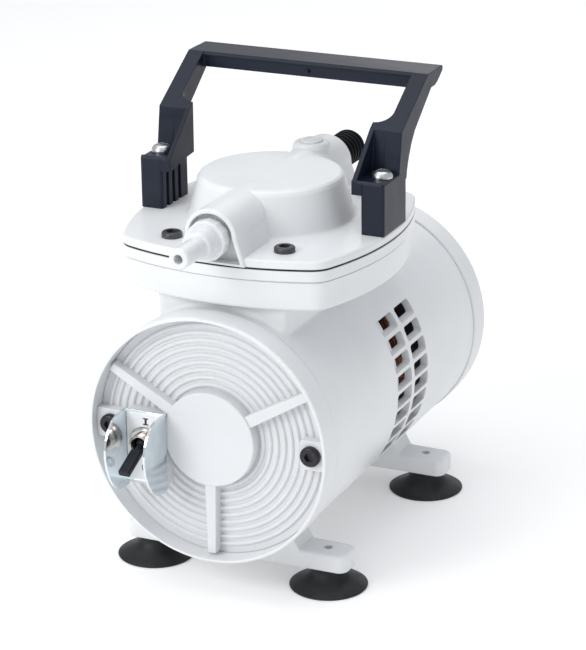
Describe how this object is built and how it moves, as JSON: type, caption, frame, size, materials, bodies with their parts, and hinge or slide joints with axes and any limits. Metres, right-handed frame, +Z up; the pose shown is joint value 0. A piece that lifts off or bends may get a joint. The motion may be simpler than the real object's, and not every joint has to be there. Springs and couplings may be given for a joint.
{
  "type": "diaphragm vacuum pump",
  "caption": "Portable diaphragm vacuum and pressure pump: round motor housing, domed valve head with opposed ports, leaning carry handle, guarded toggle switch and suction feet.",
  "frame": {"origin": "on the ground plane under the suction feet, at the middle of the overall width and length", "axes": "+Z up, -Y towards the ribbed front cover with the switch and the inlet spigot, +Y towards the rear cap along the motor shaft, +X to the right seen from the front"},
  "size_m": [0.1282, 0.2272, 0.2293],
  "materials": {
    "white_casting": "satin",
    "white_cover": "satin",
    "white_nylon": "satin",
    "black_plastic": "satin",
    "grey_plastic": "satin",
    "black_rubber": "matte",
    "diaphragm_rubber": "matte",
    "zinc_plate": "satin",
    "nickel": "gloss",
    "black_steel": "satin",
    "bright_steel": "satin",
    "lamination_steel": "matte",
    "copper_wire": "satin",
    "bare_aluminium": "satin",
    "iron": "matte",
    "spring_steel": "gloss",
    "white_label": "satin",
    "felt": "matte",
    "wire_insulation": "gloss"
  },
  "bodies": {
    "pump_body": {"motor_housing": "white_casting", "front_cover": "white_cover", "front_cover_screws": "black_steel", "switch_guard_bracket": "zinc_plate", "switch_label": "white_label", "toggle_switch_body": "grey_plastic", "switch_terminals": "bright_steel", "toggle_bushing": "nickel", "toggle_nut": "nickel", "toggle_lock_washer": "zinc_plate", "rear_end_cap": "white_casting", "rear_cap_screws": "black_steel", "stator_core": "lamination_steel", "stator_windings": "copper_wire", "stator_bolts": "zinc_plate", "front_bearing": "bright_steel", "rear_bearing": "bright_steel", "bearing_wave_washer": "spring_steel", "diaphragm": "diaphragm_rubber", "head_cover": "white_casting", "head_screws": "black_steel", "valve_plate": "bare_aluminium", "valve_plate_screws": "bright_steel", "valve_gasket": "diaphragm_rubber", "intake_flap_keeper": "bright_steel", "exhaust_flap_keeper": "bright_steel", "inlet_spigot": "white_nylon", "outlet_muffler": "black_plastic", "muffler_felt": "felt", "port_plug": "white_nylon", "carrying_handle": "black_plastic", "handle_screws": "bright_steel", "suction_foot_front_right": "black_rubber", "suction_foot_front_left": "black_rubber", "suction_foot_rear_right": "black_rubber", "suction_foot_rear_left": "black_rubber", "run_capacitor": "white_nylon", "capacitor_clip": "zinc_plate", "switch_lead_wires": "wire_insulation", "cord_grommet": "black_rubber"},
    "rotor": {"motor_shaft": "bright_steel", "rotor_core": "lamination_steel", "rotor_end_rings": "bare_aluminium", "cooling_fan": "grey_plastic", "fan_retaining_clip": "spring_steel", "crank_eccentric": "iron", "crank_set_screw": "black_steel", "crank_retaining_ring": "spring_steel"},
    "connecting_rod_set": {"connecting_rod": "bare_aluminium", "rod_bearing": "bright_steel", "diaphragm_backing_washer": "bare_aluminium", "diaphragm_clamp_plate": "bare_aluminium", "diaphragm_clamp_screw": "zinc_plate"},
    "switch_lever": {"toggle_lever": "black_plastic"},
    "intake_flap": {"intake_valve_flap": "spring_steel"},
    "exhaust_flap": {"exhaust_valve_flap": "spring_steel"}
  },
  "joints": [
    {"name": "shaft_spin", "type": "hinge", "parent": "pump_body", "child": "rotor", "pos_m": [0, 0.0584, 0.0785], "axis": [0, 1, 0], "continuous": true},
    {"name": "crank_pin_turn", "type": "hinge", "parent": "rotor", "child": "connecting_rod_set", "pos_m": [0, -0.0159, 0.076], "axis": [0, 1, 0], "continuous": true, "deforming": ["diaphragm"]},
    {"name": "toggle_throw", "type": "hinge", "parent": "pump_body", "child": "switch_lever", "pos_m": [-0.0315, -0.0936, 0.074], "axis": [-1, 0, 0], "range_deg": [0, 46.6]},
    {"name": "intake_flap_open", "type": "hinge", "parent": "pump_body", "child": "intake_flap", "pos_m": [0, -0.0211, 0.1695], "axis": [1, 0, 0], "range_deg": [0, 4.5], "stiffness_Nm_per_rad": 0.02, "springref_deg": -2.86},
    {"name": "exhaust_flap_open", "type": "hinge", "parent": "pump_body", "child": "exhaust_flap", "pos_m": [0, -0.011, 0.1723], "axis": [1, 0, 0], "range_deg": [0, 5], "stiffness_Nm_per_rad": 0.02, "springref_deg": -2.86}
  ],
  "couplings": [
    {"joint": "crank_pin_turn", "follows": "shaft_spin", "ratio": -1}
  ]
}
